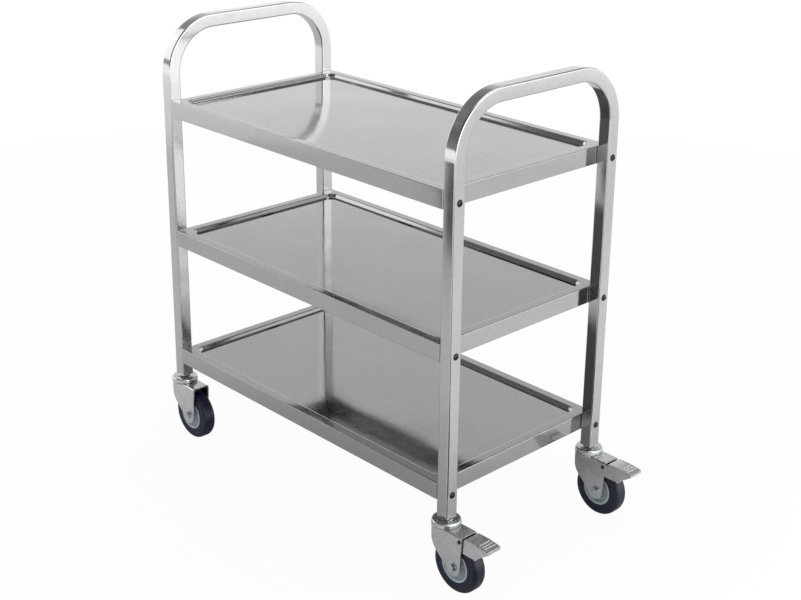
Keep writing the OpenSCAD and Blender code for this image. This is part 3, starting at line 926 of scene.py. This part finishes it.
@dataclass
class Caster(SubAssembly):
    """A swivel caster: race, fork, axle, hub, tyre, and a foot brake at one end."""

    corner: Corner
    trail: float = 0.034
    wheel: float = 0.05
    tread: float = 0.027
    hub: float = 0.03
    bore: float = 0.00605
    boss: float = 0.012
    web: float = 0.004
    ring: float = 0.0052
    fork_in: float = 0.0163
    leg: float = 0.0025
    fork_bend: float = 0.004
    fork_ease: float = 0.0004
    crown: float = 0.111
    crown_thick: float = 0.003
    pad: float = 0.0228
    pad_high: float = 0.004
    race_wide: float = 0.0255
    race_thick: float = 0.0015
    race_low: float = 0.1146
    race_top: float = 0.1235
    axle_across: float = 0.013
    axle_head: float = 0.0053
    axle_nut: float = 0.0065
    axle_thick: float = 0.008
    pin: tuple[float, float] = (0.049, 0.105)
    pin_head: float = 0.007
    pin_thick: float = 0.005
    pin_high: float = 0.0015
    pedal_thick: float = 0.0018
    pedal_ease: float = 0.0003
    pedal_flat: float = 0.084
    pedal_fall: float = 0.003 / 0.026
    rib: tuple[float, float] = (0.0022, 0.0012)
    cheek_out: float = 0.0159
    shoe: tuple[float, float] = (0.0003, 0.0033)
    shoe_arc: tuple[float, float] = (33.0, 62.0)
    pressed: float = 8.0

    @property
    def axle(self) -> Vector:
        """Middle of the axle, from the point under the swivel axis."""
        return Vector((self.trail, 0, self.wheel))

    @property
    def pivot(self) -> Vector:
        """Middle of the pedal's pin."""
        return Vector((self.pin[0], 0, self.pin[1]))

    @property
    def crown_top(self) -> float:
        """Upper face of the fork's crown."""
        return self.crown + self.crown_thick

    @property
    def fork_out(self) -> float:
        """Outer face of the fork's legs, from the middle."""
        return self.fork_in + self.leg

    @property
    def facing(self) -> Matrix:
        """Turn for pieces on the axle: +Z runs inwards from the outer side."""
        return Matrix.Translation(self.axle) @ Matrix.Rotation(QUARTER * self.corner.out, 4, "X")

    def build(self) -> None:
        """Make all the caster's pieces, and put each on its body at the corner."""
        label = self.corner.label
        swivel, wheel, brake = (f"{body}_{label}" for body in ("swivel", "wheel", "brake"))
        rows = [(self._race, "race", "dish", ZINC_PLATE, "frame", "zinc_steel", 0.0),
                (self._fork, "fork", "pressing", ZINC_PLATE, swivel, "zinc_steel",
                 self.fork_ease),
                (self._axle_bolt, "axle_bolt", "turned", ZINC_PLATE, swivel, "zinc_steel", 0.0),
                (self._axle_nut, "axle_nut", "eased", ZINC_PLATE, swivel, "zinc_steel", 0.0),
                (self._hub, "hub", "moulding", HUB_PLASTIC, wheel, "hub_plastic", 0.0),
                (self._tyre, "tyre", "moulding", TYRE_RUBBER, wheel, "tyre", 0.0)]
        if self.corner.braked:
            rows += [(self._pedal, "pedal", "pressing", ZINC_PLATE, brake, "zinc_steel",
                      self.pedal_ease),
                     (self._shoe, "brake_shoe", "pressing", ZINC_PLATE, brake, "zinc_steel",
                      self.pedal_ease),
                     (self._pin, "pedal_pin", "turned", FASTENER_STEEL, swivel, "zinc_steel",
                      0.0)]
        for make, node, form, skin, body, slot, ease in rows:
            make()
            self.bench.move(self.corner.place)
            self.hand_over(f"{node}_{label}_{form}", skin, body, slot, f"{node}_{label}",
                           ease=ease)

    def _race(self) -> None:
        """Turn the dish that covers the balls."""
        wide, top, low = self.race_wide, self.race_top, self.race_low
        within = wide - self.race_thick
        self.bench.lathe([
            (0.006, top - 0.0035, 0), (within, top - 0.0035, 0.001), (within, low, 0.0003),
            (wide, low, 0.0004), (wide, top, 0.003), (0.0128, top, 0.0008),
            (0.0124, top - 0.0006, 0), (0.006, top - 0.0006, 0)], Vector(), UP, ALONG, 64)

    def _fork(self) -> None:
        """Press the fork: two legs, the bends, the crown and the lower race."""
        self.bench.take(self._fork_sheet())
        low, top, high = self.crown, self.crown_top, self.crown_top + self.pad_high
        self.bench.lathe([
            (self.bore, low, 0), (self.race_wide, low, 0.0006), (self.race_wide, top, 0.0006),
            (self.pad, top, 0), (self.pad, high, 0.0006), (self.bore, high, 0)],
            Vector(), UP, ALONG, 64)
        for out in (-1, 1):
            self.bench.lathe([
                (0.0042, 0.0, 0), (0.0105, 0.0, 0.0), (0.0095, 0.0007, 0.0003),
                (0.0042, 0.0007, 0)], self.axle + ACROSS * out * (self.fork_out - 0.0001),
                ACROSS * out, UP, 40)

    def _fork_sheet(self) -> BMesh:
        """Cut one leg, bend it over to the middle, mirror it and give it its thickness.

        Returns:
            The mesh.
        """
        low = self.crown_top - self.fork_bend
        outline = [(-0.017, low, 0), (-0.0165, 0.078, 0.012), (0.0172, 0.0468, 0),
                   (0.0195, 0.0395, 0.006), (0.026, 0.0345, 0.008), (0.034, 0.033, 0.004),
                   (0.042, 0.0345, 0.008), (0.0485, 0.0405, 0.006), (0.0508, 0.048, 0),
                   (0.0548, 0.107, 0), (0.0541, low, 0)]
        work = bmesh.new()
        corners = [(work.verts.new((x, -self.fork_out, z)), radius) for x, z, radius in outline]
        work.faces.new([vert for vert, _ in corners])
        round_corners(work, corners, 4)
        edge = [item for item in work.edges
                if all(abs(vert.co.z - low) < WELD for vert in item.verts)]
        spun = bmesh.ops.spin(work, geom=edge, cent=(0, self.fork_bend - self.fork_out, low),
                              axis=-ALONG, angle=QUARTER, steps=6)["geom_last"]
        lifted = bmesh.ops.extrude_edge_only(work, edges=only(BMEdge, spun))["geom"]
        for vert in only(BMVert, lifted):
            vert.co.y = 0.0
        leg = next(face for face in work.faces
                   if abs(face.calc_center_median().y + self.fork_out) < WELD)
        outwards(work)
        if leg.normal.y > 0:
            bmesh.ops.reverse_faces(work, faces=work.faces[:])
        bmesh.ops.mirror(work, geom=work.verts[:] + work.edges[:] + work.faces[:], axis="Y",
                         merge_dist=WELD)
        outwards(work)
        if max(work.faces, key=lambda face: face.calc_center_median().z).normal.z < 0:
            bmesh.ops.reverse_faces(work, faces=work.faces[:])
        bmesh.ops.solidify(work, geom=work.faces[:], thickness=self.leg)
        return work

    def _axle_bolt(self) -> None:
        """Make the axle bolt: a six-sided head and the shank."""
        outer, half = self.fork_out, self.axle_thick / 2
        self.bench.hex_prism(self.axle_across, -outer - self.axle_head, -outer, self.facing,
                             chamfer=0.0007)
        start, end = -outer - 0.001, outer + self.axle_nut + 0.002
        self.bench.lathe([(0.0, start, 0), (half, start, 0), (half, end, 0.0008), (0.0, end, 0)],
                         self.axle, -ACROSS * self.corner.out, UP, 24, 2)

    def _axle_nut(self) -> None:
        """Make the axle nut."""
        self.bench.hex_prism(self.axle_across, self.fork_out, self.fork_out + self.axle_nut,
                             self.facing, chamfer=0.0008)

    def _hub(self) -> None:
        """Mould the hub: rim, web with a raised ring on each side, and boss."""
        half, web, ring, end = self.tread / 2, self.web, self.ring, self.fork_in - 0.0005
        edge, inner, ridge = self.hub - 0.0002, self.hub - 0.004, self.hub + 0.0013
        outside = [(edge, half, 0.0008), (inner, half, 0.0012), (inner - 0.0012, web, 0.002),
                   (0.0215, web, 0.0006), (0.0205, ring, 0.0005), (0.0185, ring, 0.0005),
                   (0.0175, web, 0.0006), (self.boss + 0.0012, web, 0.002),
                   (self.boss, end, 0.0008), (self.bore, end, 0)]
        key = [(edge, -0.005, 0), (ridge, -0.005, 0), (ridge, 0.005, 0), (edge, 0.005, 0)]
        self.bench.lathe(outside + mirrored(outside) + key, self.axle, ACROSS, UP, 72, 3)

    def _tyre(self) -> None:
        """Mould the tyre, with a step at each shoulder and a parting line."""
        half, out, hub = self.tread / 2, self.wheel, self.hub
        side = [(out, 0.0004, 0), (out, half - 0.0035, 0.0035),
                (out - 0.0052, half - 0.0002, 0.0025), (hub + 0.0085, half, 0.0004),
                (hub + 0.0078, half - 0.0007, 0.0003), (hub + 0.0062, half - 0.0007, 0.0003),
                (hub + 0.0055, half, 0.0004), (hub + 0.0002, half, 0.0006),
                (hub + 0.0002, 0.0052, 0), (hub + 0.0016, 0.0052, 0)]
        parting = [(out - 0.0002, 0.0, 0)]
        self.bench.lathe(side + mirrored(side) + parting, self.axle, ACROSS, UP, 96, 5)

    def _pedal(self) -> None:
        """Press the pedal: tread plate with its curl and ribs, and two cheeks."""
        thick, out, top = self.pedal_thick, self.cheek_out, self.crown_top
        flat = self.pedal_flat
        work = bmesh.new()
        chain(work, [(x, -out, z) for x, z in (
            (0.056, top - 0.005), (0.058, top - 0.0016), (0.0615, top), (flat, top),
            (0.1085, top - 0.0029), (0.11, top - 0.0042), (0.11, top - 0.0088))])
        made = bmesh.ops.extrude_edge_only(work, edges=work.edges[:])["geom"]
        bmesh.ops.translate(work, vec=(0, 2 * out, 0), verts=only(BMVert, made))
        outwards(work)
        if max(work.faces, key=lambda face: face.calc_area()).normal.z < 0:
            bmesh.ops.reverse_faces(work, faces=work.faces[:])
        bmesh.ops.solidify(work, geom=work.faces[:], thickness=thick)
        self.bench.take(work)
        cheek = [(0.0448, 0.105, 0.003), (0.0469, 0.085, 0.001), (0.08, 0.085, 0.004),
                 (0.1095, top - 0.0088, 0.0008), (0.1095, top - 0.0035, 0),
                 (flat, top - 0.0006, 0), (0.0615, top - 0.0006, 0),
                 (0.056, top - 0.0052, 0.0), (0.049, 0.1092, 0.003), (0.0448, 0.1092, 0.003)]
        for low in (-out, out - thick):
            self.bench.plate(cheek, Matrix.Translation((0, low + thick, 0))
                             @ Matrix.Rotation(QUARTER, 4, "X"), thick)
        for x in (0.088, 0.094, 0.1):
            self._rib(x, top - (x - flat) * self.pedal_fall)

    def _rib(self, x: float, z: float) -> None:
        """Raise a shallow rib across the tread plate.

        Args:
            x: place of the rib along the cart.
            z: height of the plate there.
        """
        work = bmesh.new()
        wide, high = self.rib
        bmesh.ops.create_cube(work, size=1.0)
        bmesh.ops.scale(work, vec=(wide, 2 * self.cheek_out - 0.007, high), verts=work.verts)
        uppers = [edge for edge in work.edges if all(vert.co.z > 0 for vert in edge.verts)]
        bmesh.ops.bevel(work, geom=uppers, offset=0.0005, segments=3, affect="EDGES",
                        profile=0.5, material=-1)
        self.bench.take(work, Matrix.Translation((x, 0, z - 0.0001)))

    def _shoe(self) -> None:
        """Bend the shoe plate about the tyre, between the cheeks, and lift it with the pedal."""
        inner, outer = (self.wheel + place for place in self.shoe)
        low, high = (math.radians(angle) for angle in self.shoe_arc)
        width = self.cheek_out - self.pedal_thick
        work = bmesh.new()
        work.faces.new([
            work.verts.new(self.axle + Vector((math.cos(low) * out, y, math.sin(low) * out)))
            for out, y in ((inner, -width), (outer, -width), (outer, width), (inner, width))])
        bmesh.ops.spin(work, geom=work.faces[:], cent=self.axle, axis=-ACROSS,
                       angle=high - low, steps=12)
        outwards(work)
        bmesh.ops.rotate(work, verts=work.verts[:], cent=self.pivot,
                         matrix=Matrix.Rotation(math.radians(-self.pressed), 3, "Y"))
        self.bench.take(work)

    def _pin(self) -> None:
        """Turn the pedal's pin, headed over at both ends."""
        outer, end, head = self.fork_out, self.fork_out + self.pin_high, self.pin_head / 2
        side = [(0.0, end, 0), (head, end, 0.0007), (head, outer, 0),
                (self.pin_thick / 2, outer, 0)]
        self.bench.lathe(side + mirrored(side), self.pivot, ACROSS, UP, 24, 2)


# Studio

@dataclass
class Studio:
    """Floor, flags, lamps, world and camera."""

    floor_size: float = 2.6
    eye: tuple[float, float, float] = (1.78685, -1.67647, 1.37438)
    yaw: float = 0.7896
    pitch: float = 0.34585
    roll: float = 0.01847
    focal_px: float = 1412.81
    centre_px: tuple[float, float] = (430.81, 236.85)
    image_px: tuple[int, int] = (801, 600)
    sensor: float = 36.0

    def build(self) -> None:
        """Set up everything round the cart."""
        self._world()
        self._floor()
        self._flags()
        self._lamps()
        self._camera()
        bpy.context.scene.view_settings.view_transform = "Standard"

    def _world(self) -> None:
        """White to the camera, and a studio that fades upwards to reflections."""
        world = bpy.data.worlds.new("white_studio")
        bpy.context.scene.world = world
        world.use_nodes = True
        tree = world.node_tree
        tree.nodes.clear()
        place = add(tree, "TexCoord").outputs["Generated"]
        x, y, z = add(tree, "SeparateXYZ", {"Vector": place}).outputs
        height = maths(tree, "MULTIPLY_ADD", z, 0.5, 0.5)
        fade = greys(tree, height, (
            (0.30, 0.95), (0.36, 1.0), (0.42, 1.5), (0.5, 1.5), (0.57, 1.3), (0.60, 1.1),
            (0.64, 0.93), (0.68, 0.74), (0.72, 0.7), (0.80, 0.36), (0.90, 0.22), (1.0, 0.4)),
            "EASE")
        behind = maths(tree, "MULTIPLY", maths(tree, "GREATER_THAN", z, 0.0), y)
        dim = spread(tree, behind, -0.7, -0.2, 0.22, 1.0)
        band = greys(tree, height, ((0.49, 0.34), (0.51, 0.75), (0.62, 0.8), (0.68, 1.0),
                                    (0.71, 0.0)))
        window = spread(tree, maths(tree, "MULTIPLY", x, band, clamp=True), 0.2, 0.8, 1.0, 2.9)
        glossy = add(tree, "Background",
                     {"Color": fade, "Strength": maths(tree, "MULTIPLY", dim, window)})
        white = (1.0, 1.0, 1.0, 1.0)
        soft = add(tree, "Background", {"Color": white, "Strength": 0.85})
        seen = add(tree, "Background", {"Color": white, "Strength": 1.0})
        path = add(tree, "LightPath")
        inner = add(tree, "MixShader", {
            "Fac": path.outputs["Is Glossy Ray"], 1: soft.outputs[0], 2: glossy.outputs[0]})
        outer = add(tree, "MixShader", {
            "Fac": path.outputs["Is Camera Ray"], 1: inner.outputs[0], 2: seen.outputs[0]})
        add(tree, "OutputWorld", {"Surface": outer.outputs[0]})

    def _floor(self) -> None:
        """A round white floor that keeps a little of the cart's shadow, with painted shadow near
        the cart and painted light towards +X in the paper colour that reflections see.
        """
        skin = bpy.data.materials.new("studio_floor")
        skin.use_nodes = True
        tree = skin.node_tree
        tree.nodes.clear()
        place = add(tree, "TexCoord").outputs["Object"]
        away = add(tree, "VectorMath", {0: place}, operation="LENGTH")
        x = add(tree, "SeparateXYZ", {"Vector": place}).outputs["X"]
        # Painted shadow and painted light: the paper is darker near the cart and brighter towards
        # +X, for the steel to reflect.
        painted_shade_and_light = maths(tree, "MULTIPLY", spread(tree, away.outputs["Value"], 0.3, 0.9, 0.55, 0.7),
                    spread(tree, x, 0.35, 0.8, 1.0, 1.32))
        paper = add(tree, "BsdfDiffuse", {"Color": painted_shade_and_light})
        glow = add(tree, "Emission", {"Strength": 1.0})
        path = add(tree, "LightPath")
        mix = add(tree, "MixShader", {
            "Fac": maths(tree, "MULTIPLY", path.outputs["Is Camera Ray"], 0.96),
            1: paper.outputs[0], 2: glow.outputs[0]})
        add(tree, "OutputMaterial", {"Surface": mix.outputs[0]})
        bm = bmesh.new()
        bmesh.ops.create_circle(bm, cap_ends=True, segments=96, radius=self.floor_size)
        floor = show("studio_floor", skinned("studio_floor", bm, skin))

    def _flags(self) -> None:
        """Dark boards, out of view, that the steel reflects."""
        upright = (Matrix.Translation((-0.61, -1.35, 0.17))
                   @ Matrix.Rotation(QUARTER, 4, "X") @ Matrix.Diagonal((0.46, 0.3, 1.0, 1.0)))
        lying = (Matrix.Translation((1.28, -0.79, 0.003)) @ Matrix.Rotation(-QUARTER / 2, 4, "Z")
                 @ Matrix.Diagonal((2.0, 0.6, 1.0, 1.0)))
        skin = bpy.data.materials.new("dark_flag")
        skin.use_nodes = True
        shader = skin.node_tree.nodes["Principled BSDF"]
        shader.inputs["Base Color"].default_value = (0.09, 0.09, 0.09, 1.0)
        shader.inputs["Roughness"].default_value = 0.9
        for name, place in (("front_flag", upright), ("camera_flag", lying)):
            bm = bmesh.new()
            bmesh.ops.create_grid(bm, x_segments=1, y_segments=1, size=0.5, matrix=place)
            flag = show(name, skinned(name, bm, skin))
            flag.visible_camera = False
            flag.visible_shadow = False

    def _lamps(self) -> None:
        """A large soft lamp overhead and a weaker one from the left."""
        for name, place, aim, size, power in (
                ("overhead_softbox", (0.9, 0.6, 3.0), (0.2, 0.1, 0.4), 2.4, 28.0),
                ("side_softbox", (-2.6, -1.2, 1.8), (0, 0, 0.4), 1.6, 10.0)):
            data = bpy.data.lights.new(name, "AREA")
            data.size = size
            data.energy = power
            lamp = show(name, data)
            lamp.location = place
            lamp.rotation_euler = (Vector(aim) - Vector(place)).to_track_quat("-Z", "Y").to_euler()

    def _camera(self) -> None:
        """Stand the camera where the photograph's perspective puts it."""
        data = bpy.data.cameras.new("camera")
        data.sensor_fit = "HORIZONTAL"
        data.sensor_width = self.sensor
        wide, high = self.image_px
        data.lens = self.focal_px * self.sensor / wide
        data.shift_x = -(self.centre_px[0] - wide / 2) / wide
        data.shift_y = (self.centre_px[1] - high / 2) / wide
        data.clip_start, data.clip_end = 0.05, 50.0
        back = Vector((math.sin(self.yaw) * math.cos(self.pitch),
                       -math.cos(self.yaw) * math.cos(self.pitch), math.sin(self.pitch)))
        right = (-back).cross(UP).normalized()
        up = right.cross(-back)
        cos, sin = math.cos(self.roll), math.sin(self.roll)
        right, up = cos * right + sin * up, cos * up - sin * right
        turn = Matrix((right, up, back)).transposed().to_4x4()
        camera = show("camera", data)
        camera.matrix_world = Matrix.Translation(self.eye) @ turn
        bpy.context.scene.camera = camera


def main() -> None:
    logging.basicConfig(level=logging.INFO, format="%(message)s")
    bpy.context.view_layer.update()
    effects = EffectLibrary()
    for side in (1, -1):
        EndFrame(effects, side).build()
    for tier in Tier:
        Tray(effects, tier).build()
    TrayFasteners(effects).build()
    StemNuts(effects).build()
    for corner in Corner:
        Caster(effects, corner).build()
    repaint(["tray_washers"], FASTENER_STEEL.material(effects))
    labels = [corner.label for corner in Corner]
    repaint(["stem_sockets", *(f"{node}_{label}" for node in ("stem", "axle_bush")
                               for label in labels)], ZINC_PLATE.material(effects))
    repaint([f"balls_{label}" for label in labels], BALL_CHROME.material(effects))
    Studio().build()


if __name__ == "__main__":
    main()
